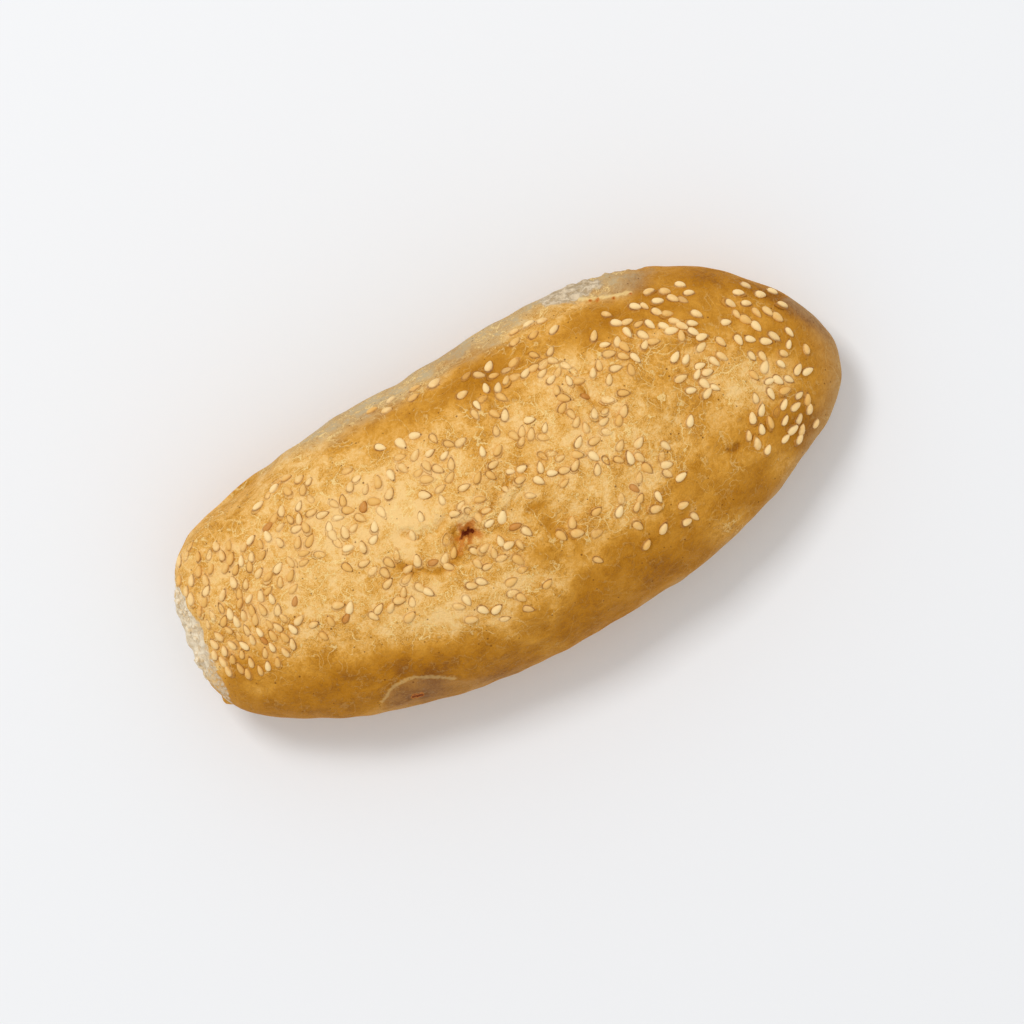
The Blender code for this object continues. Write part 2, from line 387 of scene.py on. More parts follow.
    def pull(self, point: Vector) -> float:
        """How hard the skin was pulled into fine wrinkles there, from 0 to 1.

        Args:
            point: The point, in mm.

        Returns:
            The share.
        """
        if point.z < self.base_depth:
            return 0.0
        near_crease = max(abs(crease.at(point.x, point.y)) for crease in self.creases)
        return min(self.wrinkle_middle.at(point.x, point.y) + 0.7 * near_crease, 1.0)

    def wrinkles(self, point: Vector) -> float:
        """The small folds of skin round the crack and along the creases, as a height in mm.

        Args:
            point: The point, in mm.

        Returns:
            The height in mm.
        """
        wobble = Vector((noise.noise(point / 2.5), noise.noise(point / 2.5 + Vector((9, 0, 0))), 0))
        at = point + 0.9 * wobble
        height = sum(crease.at(at.x, at.y) for crease in self.creases)
        pull = self.wrinkle_middle.at(point.x, point.y)
        if pull:
            turned = Matrix.Rotation(math.radians(-28), 3, "Z") @ point
            turned = Vector((turned.x / 4.5, turned.y / 1.7, turned.z / 4))
            height -= self.wrinkle_depth * pull * (0.6 - 2 * abs(noise.noise(turned)))
        return height

    def crack_ray(self, point: Vector, out: float) -> float:
        """How near a point is to one of the crack's five bent rays, from 0 between them to 1.

        Args:
            point: The point, in mm.
            out: How far out from the crack's middle the rays have bent, in mm.

        Returns:
            The nearness.
        """
        angle = math.atan2(point.y - self.crack[1], point.x - self.crack[0])
        return 0.5 + 0.5 * math.cos(5 * angle + 0.8 * out)

    def crack_depth(self, point: Vector) -> float:
        """The burnt crack's own depth in mm, a star of small splits.

        Args:
            point: The point, in mm.

        Returns:
            The depth in mm.
        """
        out = math.hypot(point.x - self.crack[0], point.y - self.crack[1])
        if out > self.crack_reach:
            return 0.0
        return self.crack_deepest * smooth_step(0.9 + 2.4 * self.crack_ray(point, out), 0.2, out)

    def relief(self, point: Vector) -> float:
        """How far the crust stands out of the smooth form.

        Args:
            point: The point of the smooth form, in mm.

        Returns:
            The height in mm.
        """
        height = self.lump_height * (
            noise.noise(point / self.lump_size) + 0.45 * noise.noise(point / self.lump_size * 2.3)
        )
        height += self.blister_height * noise.noise(point / self.blister_size)
        height -= self.split_depth * self.split(point)
        if point.z > curve_value(self.belly, point.x):
            height -= sum(dent.at(point.x, point.y) for dent in self.dents)
            height += self.wrinkles(point) - self.crack_depth(point)
        off_flap = (point - Vector(self.flap)).length / self.flap_radius
        if off_flap < 1:
            height += self.flap_height * (1 - off_flap * off_flap) ** 2
        torn = max(self.torn_end(point), self.torn_patch_roughness * self.torn_patch(point))
        if torn:
            crags = noise.noise(point / self.crag_size) + 0.5 * noise.noise(point / self.crag_size * 2.1)
            fine = noise.noise(point / self.fine_crag_size)
            height += torn * (self.crag_height * crags + self.fine_crag_height * fine - self.torn_end_sink)
        return height * smooth_step(self.relief_starts, self.relief_full, point.z)


@dataclass(frozen=True)
class Browning:
    """Where the crust is browner, paler, torn or burnt, and where shade and light are painted on its creases
    and ridges. Sizes are in mm.
    """

    form: RollForm
    crown_bake: float = 0.345
    low_side_bake: float = 0.47
    low_round_end_bake: float = 0.36
    far_side_bake: float = 0.48
    # Painted relief shade: how much darker the creases and paler the ridges are painted, and the wrinkle
    # heights it follows.
    painted_relief_shade: float = 0.46
    relief_shade_limits: PAIR = (-0.9, 0.12)
    edge_waves: CURVE = ((3.5, 9), (1.2, 3))
    low_side_soft: PAIR = (12, -6)
    low_side_firm: PAIR = (3.5, -6)
    low_side_soft_share: float = 0.4
    low_round_end_x: PAIR = (5, 35)
    round_end_x: PAIR = (0, 45)
    far_side_soft: PAIR = (-5, 5)
    far_side_x: PAIR = (42, 54)
    under_z: PAIR = (31, 11)
    low_side_edge: CURVE = (
        (-89, -9), (-80, -12), (-60, -16), (-45, -20), (-30, -25), (-20, -27), (-13, -33), (-7, -34),
        (-2, -30), (8, -22.5), (30, -23.5), (42, -23.5), (55, -20), (72, -20), (89, -12),
    )
    far_side_edge: CURVE = (
        (-89, 30), (-60, 31), (40, 37), (50, 31), (60, 27), (72, 21), (80, 13), (86, 4), (89, -4),
    )
    spots: tuple[Spot, ...] = make_spots(
        (-32, 12, 30, 18, 8, -0.22), (-58, 4, 24, 18, 0, -0.08), (-28, -19, 26, 8, -16, -0.12),
        (-12, 27, 24, 7, 5, 0.13), (12, 24, 10, 8, 0, 0.10), (45, 12, 12, 14, 0, 0.05),
        (10, -9, 15, 8, -20, 0.14), (52, -14, 16, 10, 15, 0.16), (30, 4, 14, 10, 0, -0.12),
        (30, -13, 14, 8, 0, -0.08), (68, -1, 14, 13, 0, -0.10), (50, 26, 18, 7, -20, 0.14),
        (-68, -12, 16, 5, -10, 0.08), (-37, -4, 9, 4, 0, 0.14), (4.5, -11, 3.2, 2.6, 80, 0.26),
        (2, -8, 14, 5, -10, 0.07), (48, 8, 9, 6, 0, 0.03), (60, 1, 13, 6, -15, -0.16),
        (55, 18, 6, 3.5, 0, -0.14), (31, 10, 5, 9, 20, -0.14), (7, 30, 14, 7, 5, 0.22),
        (0, 31, 48, 5, 0, 0.14), (-10, -30, 12, 6, 0, 0.12), (0, -16, 8, 6, 0, 0.28),
        (37, 28, 13, 8, 0, 0.26), (64, 20, 16, 9, -35, 0.20), (-26, 33, 18, 5, 0, 0.14),
        (70, -13, 18, 9, 0, 0.18), (-81, -9, 7, 7, 0, 0.16), (-5, 2, 13, 6, 20, -0.06),
        (0, 8, 8, 6, 0, -0.10), (24, 15, 7, 6, 0, -0.14), (52, 23, 13, 8, -15, 0.14),
        (66, -15, 7, 6, 0, 0.14), (-72, -3, 14, 9, 0, 0.13), (-66, 27, 14, 9, 10, 0.14),
        (-10, -8, 11, 5, -15, 0.12), (-48, -31, 6, 5, 0, 0.14), (24, -33, 7, 5, 0, 0.14),
        (58, 31, 9, 6, -20, -0.20), (0, 18, 9, 8, 0, 0.14), (8, 7, 10, 7, 0, 0.12), (-8, 1, 9, 6, 0, -0.10),
        (24, 0, 8, 6, 0, -0.12), (12, -9, 9, 6, 0, -0.12), (52, -1, 9, 6, 0, 0.12), (72, 3, 8, 8, 0, 0.17),
        (56, 16, 7, 6, 0, 0.14), (40, 25, 9, 7, 0, 0.05), (-56, 33, 12, 6, 0, 0.14),
        (-24, 25, 9, 6, 0, 0.08), (-48, -12, 9, 7, 0, 0.08), (10, 38, 9, 5, 0, -0.16),
        (32, -20, 9, 8, 0, 0.10), (8, -19, 10, 6, 0, 0.08), (64, -24, 7, 6, 0, -0.08),
        (-2, 28, 68, 9, 0, 0.12), (8, 24, 9, 7, 0, 0.10), (5, 37, 14, 5, 0, 0.34),
        (68, 11, 18, 9, -30, 0.15), (-77, -8, 14, 7, -10, 0.12), (-60, -17, 16, 7, -15, 0.10),
        (40, -17, 9, 7, 0, 0.20), (73, -19, 9, 8, 30, 0.32), (63, -25, 7, 5, 0, -0.18),
        (-40, -26, 14, 7, -20, 0.16), (-8, -26, 9, 7, 0, 0.16), (-56, -32, 7, 6, 0, -0.16),
        (-40, -33, 8, 6, 0, 0.18), (-8, -33, 8, 6, 0, 0.16), (12, -33, 9, 6, 0, -0.10),
        (44, -32, 10, 6, 0, -0.30), (-24, -40, 10, 5, 0, 0.20), (50, 36.5, 8, 4.5, 0, -0.24),
    )
    tip: Spot = Spot(92, 4, 24, 36, 0, 0.48)
    under_bake: float = 0.52
    round_end_bake: float = 0.09
    lip: CURVE = ((37.5, 35.4), (39.5, 34.6), (42, 33.6), (45.1, 32.4), (49.5, 31.1))
    lip_dots: CURVE = ((39.6, 33.9), (41.3, 33.3), (44.9, 31.8), (49.4, 30.7))
    crumbly_middle: tuple[float, float, float] = (38.0, 41, 26)
    crumbly_half: tuple[float, float, float] = (9.6, 6.2, 9)
    under_skin_share: float = 0.19
    lip_from_y: float = 20
    low_lip_strength: float = 0.5
    under_skin_left: PAIR = (-58, -51)
    under_skin_right: PAIR = (-8, -20)
    under_skin_soft: PAIR = (0.5, -0.8)
    under_skin_z: PAIR = (10, 16)
    low_rim_skin: float = 0.50
    low_rim_x: PAIR = (8, 24)
    low_rim_z: PAIR = (28, 20)
    skin_waves: CURVE = ((2.0, 6), (0.9, 2))
    skin_side_y: float = 12
    skin_left: PAIR = (-62, -40)
    skin_right: PAIR = (59, 48)
    skin_soft: PAIR = (-2.6, 3.0)
    skin_z: PAIR = (6, 14)
    under_skin_edge: CURVE = (
        (-60, -33), (-53.5, -31), (-48.9, -28.8), (-42, -28.7), (-36.8, -31.6), (-30.4, -35.6),
        (-22, -38.3), (-8, -39.3),
    )
    low_lip: CURVE = (
        (-52.5, -30.6), (-48.9, -28.7), (-45.5, -28.2), (-42, -28.6), (-36.8, -31.5), (-33.5, -33.6),
    )
    trail: CURVE = ((-15.5, -3.5), (-18, -6.4))
    gash: CURVE = ((-44.9, -32.9), (-42.7, -33.5))
    skin_edge: CURVE = (
        (-62, 37), (-50, 34.5), (-35, 33.5), (-20, 33.3), (-8, 34.2), (3, 35.4), (12, 34.6), (20, 36.3),
        (29, 37.4), (35, 36.2), (40, 34.2), (44, 32.6), (49, 31.2), (56, 31.0),
    )

    def bake(self, point: Vector) -> float:
        """How brown the crust is, from 0 for cream to 1 for dark brown, with painted shade in the creases of
        the wrinkles and a little painted light on their ridges.

        Args:
            point: A point of the crust, in mm.

        Returns:
            The browning there, with the painted relief shade.
        """
        x, y, z = point
        wander = waves(point, self.edge_waves)
        value = self.crown_bake
        off_low_side = y + wander - curve_value(self.low_side_edge, x)
        soft = smooth_step(*self.low_side_soft, off_low_side)
        firm = smooth_step(*self.low_side_firm, off_low_side)
        low_side = firm + self.low_side_soft_share * (soft - firm)
        toward_end = (self.low_round_end_bake - self.low_side_bake) * smooth_step(*self.low_round_end_x, x)
        value += low_side * (self.low_side_bake + toward_end)
        value += self.round_end_bake * smooth_step(*self.round_end_x, x)
        off_far_side = y + wander * 0.5 - curve_value(self.far_side_edge, x)
        past_edge = smooth_step(*self.far_side_soft, off_far_side)
        value += self.far_side_bake * past_edge * smooth_step(*self.far_side_x, x)
        value += sum(spot.at(x, y) for spot in self.spots) + self.tip.at(x, y)
        # Painted shade and light: the creases of the wrinkles are painted darker and their ridges a little
        # paler, standing in for the relief's shade and light.
        if z > self.form.base_depth:
            deepest, highest = self.relief_shade_limits
            value -= self.painted_relief_shade * max(deepest, min(highest, self.form.wrinkles(point)))
        return value + (self.under_bake - value) * smooth_step(*self.under_z, z)

    def skin(self, point: Vector) -> float:
        """How pale and grey the crust is where a neighbour kept it from browning.

        Args:
            point: The point, in mm.

        Returns:
            The share of pale skin.
        """
        x, y, z = point
        wander = waves(point, self.skin_waves)
        if y < self.skin_side_y:
            along = smooth_step(*self.under_skin_left, x) * smooth_step(*self.under_skin_right, x)
            off_edge = y + 0.3 * wander - curve_value(self.under_skin_edge, x)
            below = smooth_step(*self.under_skin_soft, off_edge)
            rim = self.low_rim_skin * smooth_step(*self.low_rim_x, x) * smooth_step(*self.low_rim_z, z)
            return max(rim, self.under_skin_share * along * below * smooth_step(*self.under_skin_z, z))
        at = x + 2 * wander
        along = smooth_step(*self.skin_left, at) * smooth_step(*self.skin_right, at)
        past_edge = smooth_step(*self.skin_soft, y + 0.9 * wander - curve_value(self.skin_edge, x))
        return along * past_edge * smooth_step(*self.skin_z, z)

    def crumbly(self, point: Vector) -> float:
        """How far a point lies in the grey torn skin at the end of that band, from 0 to 1.

        Args:
            point: The point, in mm.

        Returns:
            The share.
        """
        if point.y < self.lip_from_y:
            return 0.0
        sides = zip(point - Vector(self.crumbly_middle), self.crumbly_half, strict=True)
        off = math.hypot(*(side / half for side, half in sides))
        return smooth_step(1.15, 0.85, off + 2.2 * self.form.ragged(point))

    def off_lip(self, point: Vector) -> float:
        """How far a point of the crown is from the pale edges of torn skin, in mm.

        Args:
            point: The point, in mm.

        Returns:
            The distance.
        """
        if point.z < self.form.base_depth or abs(point.y) < self.lip_from_y:
            return math.inf
        return to_edges(point.x, point.y, self.lip if point.y > 0 else self.low_lip)

    def pale_lip(self, point: Vector) -> float:
        """The thin pale edge that the crust has along torn skin, from 0 to 1."""
        strength = 1.0 if point.y > 0 else self.low_lip_strength
        return strength * smooth_step(0.6, 0.15, self.off_lip(point) + 0.45 * noise.noise(point / 0.9))

    def burn(self, point: Vector) -> float:
        """How burnt the crust is, in the crack and in a small gash on the low side.

        Args:
            point: The point, in mm.

        Returns:
            The share of burn.
        """
        x, y, _ = point
        out = math.hypot(x - self.form.crack[0], (y - self.form.crack[1]) * 1.25)
        star_reach = 3.2 + 3.4 * self.form.crack_ray(point, out)
        star = smooth_step(star_reach, 0.2, out + 1.6 * noise.noise(point / 1.3))
        trail = 0.5 * smooth_step(1.5, 0.2, to_edges(x, y, self.trail) + noise.noise(point / 1.1))
        gash = 0.9 * smooth_step(0.62, 0.3, to_edges(x, y, self.gash) + 0.4 * noise.noise(point))
        near_dot = min(math.hypot(x - at[0], y - at[1]) for at in self.lip_dots) + 0.5 * noise.noise(point)
        dots = 0.85 * smooth_step(0.6, 0.25, near_dot)
        return max(star, trail, gash, dots) if point.z > 12 else 0.0


class Signal:
    """A node's output, which sums and products can be made of."""

    def __init__(self, wiring: "Wiring", socket: bpy.types.NodeSocket) -> None:
        """Takes the wiring of its tree and the output itself."""
        self.wiring = wiring
        self.socket = socket

    def __add__(self, other: "Signal | float") -> "Signal":
        """The sum of both."""
        return self.wiring.math("ADD", self, other)

    def __sub__(self, other: "Signal | float") -> "Signal":
        """The difference of both."""
        return self.wiring.math("SUBTRACT", self, other)

    def __mul__(self, other: "Signal | float") -> "Signal":
        """The product of both."""
        return self.wiring.math("MULTIPLY", self, other)

    def __abs__(self) -> "Signal":
        """Its size without its sign."""
        return self.wiring.math("ABSOLUTE", self)

    def max(self, other: "Signal | float") -> "Signal":
        """The larger of both."""
        return self.wiring.math("MAXIMUM", self, other)

    def ramp(self, low: float, high: float, start: float = 0.0, end: float = 1.0) -> "Signal":
        """Maps low to high smoothly onto start to end.

        Args:
            low: The value that start stands for.
            high: The value that end stands for.
            start: What low becomes.
            end: What high becomes.

        Returns:
            The mapped signal.
        """
        inputs = {"Value": self, "From Min": low, "From Max": high, "To Min": start, "To Max": end}
        node = self.wiring.add("MapRange", inputs, interpolation_type="SMOOTHSTEP")
        return Signal(self.wiring, node.outputs[0])


class Wiring:
    """A node tree that is being wired up."""

    def __init__(self, tree: bpy.types.NodeTree) -> None:
        """Takes the tree to add nodes to."""
        self.tree = tree

    def feed(self, node: bpy.types.Node, inputs: INPUTS) -> None:
        """Links signals and sets values on a node's inputs, by name or number.

        Args:
            node: The node.
            inputs: What each input gets.
        """
        for key, value in inputs.items():
            if isinstance(value, Signal):
                self.tree.links.new(value.socket, node.inputs[key])
            else:
                node.inputs[key].default_value = value

    def add(self, kind: str, inputs: INPUTS | None = None, **settings: object) -> bpy.types.Node:
        """Adds a node.

        Args:
            kind: The node's type name, without its ShaderNode prefix.
            inputs: Values or signals for its inputs, by name or number.
            **settings: The node's own settings.

        Returns:
            The node.
        """
        node = self.tree.nodes.new(kind if kind.startswith("Node") else f"ShaderNode{kind}")
        for name, value in settings.items():
            setattr(node, name, value)
        self.feed(node, inputs or {})
        return node

    def math(self, operation: str, first: object, second: object = 0.0) -> Signal:
        """The result of a math node on two values or signals."""
        return Signal(self, self.add("Math", {0: first, 1: second}, operation=operation).outputs[0])

    def noise(
        self, place: Signal, scale: float, detail: float = 2, rough: float = 0.5, bend: float = 0
    ) -> Signal:
        """The value of a noise texture with features of about 1 / scale mm."""
        inputs = {"Vector": place, "Scale": scale, "Detail": detail, "Roughness": rough, "Distortion": bend}
        return Signal(self, self.add("TexNoise", inputs).outputs[0])

    def mix(self, factor: object, first: object, second: object) -> Signal:
        """The colour between two colours or signals."""
        return Signal(self, self.add("Mix", {0: factor, 6: first, 7: second}, data_type="RGBA").outputs[2])

    def trait(self, trait: Trait) -> Signal:
        """The value of a mesh attribute."""
        return Signal(self, self.add("Attribute", attribute_name=trait.value).outputs["Fac"])

    def place(self) -> Signal:
        """The place in the object's own coordinates, in mm."""
        place = Signal(self, self.add("TexCoord").outputs["Object"])
        return Signal(self, self.add("VectorMath", {0: place, "Scale": 1 / MM}, operation="SCALE").outputs[0])

    def bump(self, height: Signal, strength: float) -> Signal:
        """The normal of a surface with this height, in mm."""
        inputs = {"Height": height, "Distance": MM, "Strength": strength}
        return Signal(self, self.add("Bump", inputs).outputs[0])

    def crust(self, group: bpy.types.NodeTree) -> dict[str, Signal]:
        """The outputs of the crust's node group, by name."""
        return {output.name: Signal(self, output) for output in self.add("Group", node_tree=group).outputs}

    def shade(self, inputs: INPUTS) -> None:
        """Feeds the material's shader."""
        self.feed(self.tree.nodes["Principled BSDF"], inputs)


def start_material(name: str) -> tuple[bpy.types.Material, Wiring]:
    """Makes a material with a plain shader, and the wiring of its tree.

    Args:
        name: The material's name.

    Returns:
        The material and its wiring.
    """
    material = bpy.data.materials.new(name)
    material.use_nodes = True
    return material, Wiring(material.node_tree)


@dataclass(frozen=True)
class CrustFinish:
    """Baked crust, pale skin, torn crumb and burn, as one procedural finish."""

    cream: RGBA = (0.91, 0.590, 0.235, 1)
    tan: RGBA = (0.81, 0.44, 0.11, 1)
    golden: RGBA = (0.67, 0.310, 0.038, 1)
    brown: RGBA = (0.47, 0.185, 0.009, 1)
    dark: RGBA = (0.26, 0.085, 0.006, 1)
    vein: RGBA = (0.95, 0.70, 0.30, 1)
    speck: RGBA = (0.15, 0.045, 0.007, 1)
    skin: RGBA = (0.44, 0.37, 0.24, 1)
    crumb: RGBA = (0.89, 0.76, 0.56, 1)
    # Painted shade: the torn crumb's colour in the low places of its bump.
    crumb_pit_shade: RGBA = (0.76, 0.58, 0.36, 1)
    patch: RGBA = (0.79, 0.65, 0.46, 1)
    # Painted shade: the torn skin's colour in the low places of its bump.
    patch_pit_shade: RGBA = (0.47, 0.34, 0.20, 1)
    burnt: RGBA = (0.16, 0.024, 0.006, 1)
    scorched: RGBA = (0.60, 0.190, 0.024, 1)

    def group(self) -> bpy.types.NodeTree:
        """Builds the shader node group of the crust's colour, roughness and height in mm.

        Returns:
            The group, with Color, Roughness and Height sockets.
        """
        tree = bpy.data.node_groups.new("baked_crust", "ShaderNodeTree")
        for name, kind in (("Color", "Color"), ("Roughness", "Float"), ("Height", "Float")):
            tree.interface.new_socket(name, in_out="OUTPUT", socket_type=f"NodeSocket{kind}")
        wire = Wiring(tree)
        place = wire.place()
        broad = wire.noise(place, 0.075, 2)
        middling = wire.noise(place, 0.23, 4, 0.62, 0.4)
        fine = wire.noise(place, 1.0, 3, 0.7)
        grain = wire.noise(place, 3.0, 2, 0.6)
        patches, flecks = middling.ramp(0.38, 0.60), fine.ramp(0.38, 0.62)

        # Browning, with the painted shade of the crust's creases and painted light on its ridges.
        bake = wire.trait(Trait.BAKE_AND_RELIEF_SHADE)
        uneven = (broad - 0.5) * 0.42 + (middling - 0.5) * 0.60 + (patches - 0.5) * 0.26
        uneven = uneven + (flecks - 0.5) * 0.24 + (grain - 0.5) * 0.40
        colour = self.browned_and_shaded(wire, bake + uneven * bake.ramp(0.38, 0.74, 1.0, 0.27))
        blotches = flecks * 0.5 + patches * 0.5
        skin = wire.trait(Trait.SKIN) * blotches.ramp(0.1, 0.9, 0.76, 0.46)
        colour = wire.mix(skin, colour, self.skin)
        veins = self.veins(wire, place, fine, middling) * bake.ramp(0.40, 0.75, 0.75, 0.13)
        crackle = abs(fine - 0.47).ramp(0.035, 0.0) * middling.ramp(0.46, 0.56, 0.15, 1.0)
        flour = fine.ramp(0.55, 0.63).max(crackle) * bake.ramp(0.30, 0.62, 0.62, 0.06)
        for pale in (veins, flour, wire.trait(Trait.LIP) * 0.6):
            colour = wire.mix(pale, colour, self.vein)
        colour = wire.mix(self.specks(wire, place) * 0.75, colour, self.speck)

        burn = wire.trait(Trait.BURN)
        burn = (burn + (fine - 0.5) * 0.6) * burn.ramp(0.02, 0.12)
        colour = wire.mix(burn.ramp(0.05, 0.66, 0.0, 0.85), colour, self.scorched)
        colour = wire.mix(burn.ramp(0.72, 0.98), colour, self.burnt)

        frayed = (fine - 0.5) * 1.2
        torn = (wire.trait(Trait.CRUMB) + frayed).ramp(0.20, 0.75)
        patch = (wire.trait(Trait.PATCH) + frayed).ramp(0.25, 0.95)
        # Low places of the torn bump, which also get the painted shade colours.
        pits_and_pit_shade = wire.noise(place, 0.5, 4, 0.65, 0.3).ramp(0.34, 0.60)
        colour = wire.mix(patch * 0.9, colour, wire.mix(pits_and_pit_shade, self.patch_pit_shade, self.patch))
        colour = wire.mix(torn, colour, wire.mix(pits_and_pit_shade, self.crumb_pit_shade, self.crumb))

        rough = wire.math("MINIMUM", middling.ramp(0.3, 0.7, 0.50, 0.66) + torn * 0.35, 1.0)
        height = middling * 0.45 + fine * 0.55 + grain * 0.16 + torn.max(patch) * (pits_and_pit_shade * 0.35)
        height = height + wire.trait(Trait.PULL) * self.folds(wire, place) * 0.22
        wire.add("NodeGroupOutput", {"Color": colour, "Roughness": rough, "Height": height})
        return tree

    def browned_and_shaded(self, wire: Wiring, bake: Signal) -> Signal:
        """The colour of crust that is baked this far, with the painted relief shade that its input carries.

        Args:
            wire: The tree to wire it in.
            bake: The browning with painted relief shade, from 0 to 1.

        Returns:
            The colour.
        """
        ramp = wire.add("ValToRGB", {0: bake})
        stops = ((0.32, self.tan), (0.54, self.golden), (0.80, self.brown))
        first, last = ramp.color_ramp.elements
        first.position, first.color = 0.08, self.cream
        last.position, last.color = 1.0, self.dark
        for position, colour in stops:
            ramp.color_ramp.elements.new(position).color = colour
        return Signal(wire, ramp.outputs[0])

    def veins(self, wire: Wiring, place: Signal, wobble: Signal, breaks: Signal) -> Signal:
        """Long thin curling pale lines in the crust's skin, broken here and there.

        Args:
            wire: The tree to wire them in.
            place: The place in mm.
            wobble: The fine noise that makes them waver.
            breaks: The noise that breaks them.

        Returns:
            Their mask.
        """
        lines = []
        for scale, width, low in ((0.09, 0.010, 0.42), (0.19, 0.017, 0.47)):
            off = abs(wire.noise(place, scale, 1, 0.5, 0.8) + (wobble - 0.5) * 0.12 - 0.5)
            lines.append(off.ramp(width, width * 0.2) * breaks.ramp(low, low + 0.08))
        return lines[0].max(lines[1])

    def folds(self, wire: Wiring, place: Signal) -> Signal:
        """The height of fine sharp wrinkles of pulled skin, from 0 in a crease to 1."""
        return abs(wire.noise(place, 0.42, 3, 0.6, 0.6) - 0.5).ramp(0.0, 0.10)

    def specks(self, wire: Wiring, place: Signal) -> Signal:
        """The mask of pin pores and scorched specks.

        Args:
            wire: The tree to wire them in.
            place: The place in mm.

        Returns:
            The mask.
        """
        dots = []
        for scale, radius, share in ((0.33, 0.12, 0.66), (0.62, 0.17, 0.80)):
            cells = wire.add("TexVoronoi", {"Vector": place, "Scale": scale})
            near = Signal(wire, cells.outputs["Distance"]).ramp(radius, radius * 0.45)
            tints = wire.add("SeparateColor", {0: Signal(wire, cells.outputs["Color"])})
            dots.append(near * Signal(wire, tints.outputs[0]).ramp(share, share + 0.02))
        return dots[0].max(dots[1])

    def material(self, group: bpy.types.NodeTree) -> bpy.types.Material:
        """Builds the crust's material from the crust's node group.

        Args:
            group: The crust's node group.

        Returns:
            The material.
        """
        material, wire = start_material("crust_finish")
        crust = wire.crust(group)
        wire.shade(
            {
                "Base Color": crust["Color"],
                "Roughness": crust["Roughness"],
                "Normal": wire.bump(crust["Height"], 0.9),
                "Specular IOR Level": 0.05,
            }
        )
        return material


@dataclass(frozen=True)
class SesameFinish:
    """Baked sesame seed, with the crust's colour creeping up a bedded one, and a dark rim round each seed
    that is partly browning and partly painted contact shade.
    """

    cream: RGBA = (0.94, 0.68, 0.32, 1)
    gold: RGBA = (0.80, 0.45, 0.12, 1)
    toasted: RGBA = (0.55, 0.21, 0.032, 1)
    # The rim colour: browned crust and painted contact shade round the seed.
    rim: RGBA = (0.26, 0.085, 0.005, 1)
    tip: RGBA = (0.12, 0.040, 0.012, 1)

    def material(self, group: bpy.types.NodeTree) -> bpy.types.Material:
        """Builds the seeds' material from the crust's node group.

        Args:
            group: The crust's node group.

        Returns:
            The material.
        """
        material, wire = start_material("sesame_finish")
        crust = wire.crust(group)
        blotch = wire.noise(wire.place(), 0.9, 2)
        toast = wire.trait(Trait.TOAST) + (blotch - 0.5) * 0.5
        shell = wire.mix(toast.ramp(0.0, 0.7), self.cream, self.gold)
        shell = wire.mix(toast.ramp(0.85, 1.05), shell, self.toasted)
        shell = wire.mix(wire.trait(Trait.TIP).ramp(0.5, 0.9), shell, self.tip)
        colour = wire.mix(wire.trait(Trait.OWN_COLOUR), crust["Color"], shell)
        # Darkens each seed's rim: partly browning, partly painted contact shade.
        colour = wire.mix(wire.trait(Trait.OUTLINE_AND_CONTACT_SHADE) * blotch.ramp(0.36, 0.58, 0.60, 1.0), colour, self.rim)
        normal = wire.bump(crust["Height"], 0.25)
        wire.shade({"Base Color": colour, "Normal": normal, "Roughness": 0.45, "Specular IOR Level": 0.25})
        return material


@dataclass(frozen=True)
class CrumbFinish:
    """Torn white crumb, dull and slightly uneven in tone."""

    light: RGBA = (0.87, 0.74, 0.54, 1)
    shaded: RGBA = (0.70, 0.53, 0.31, 1)

    def material(self) -> bpy.types.Material:
        """Builds the torn crumbs' material.

        Returns:
            The material.
        """
        material, wire = start_material("crumb_finish")
        tone = wire.noise(wire.place(), 0.6, 3, 0.6).ramp(0.36, 0.56)
        colour = wire.mix(tone, self.shaded, self.light)
        wire.shade({"Base Color": colour, "Roughness": 0.95, "Specular IOR Level": 0.1})
        return material


def select_only(piece: bpy.types.Object) -> None:
    """Makes a piece the only selected and active object.

    Args:
        piece: The piece to select.
    """
    bpy.ops.object.select_all(action="DESELECT")
    piece.select_set(True)
    bpy.context.view_layer.objects.active = piece


def set_trait(mesh: bpy.types.Mesh, trait: Trait, values: list[float]) -> None:
    """Stores one value for each of a mesh's points as an attribute."""
    mesh.attributes.new(trait.value, "FLOAT", "POINT").data.foreach_set("value", values)


def join(pieces: list[bpy.types.Object]) -> None:
    """Joins pieces into the first, which becomes the active object.

    Args:
        pieces: The pieces to join, the one that stays first.
    """
    bpy.ops.object.select_all(action="DESELECT")
    for piece in pieces:
        piece.select_set(True)
    bpy.context.view_layer.objects.active = pieces[0]
    bpy.ops.object.join()


def hand_over(piece: bpy.types.Object) -> None:
    """Rides a finished piece on the roll's body, in place of its CAD node.

    Args:
        piece: The piece.
    """
    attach(piece, BODY)
    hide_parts(NODE)
    LOG.info("%s: %d faces", piece.name, len(piece.data.polygons))


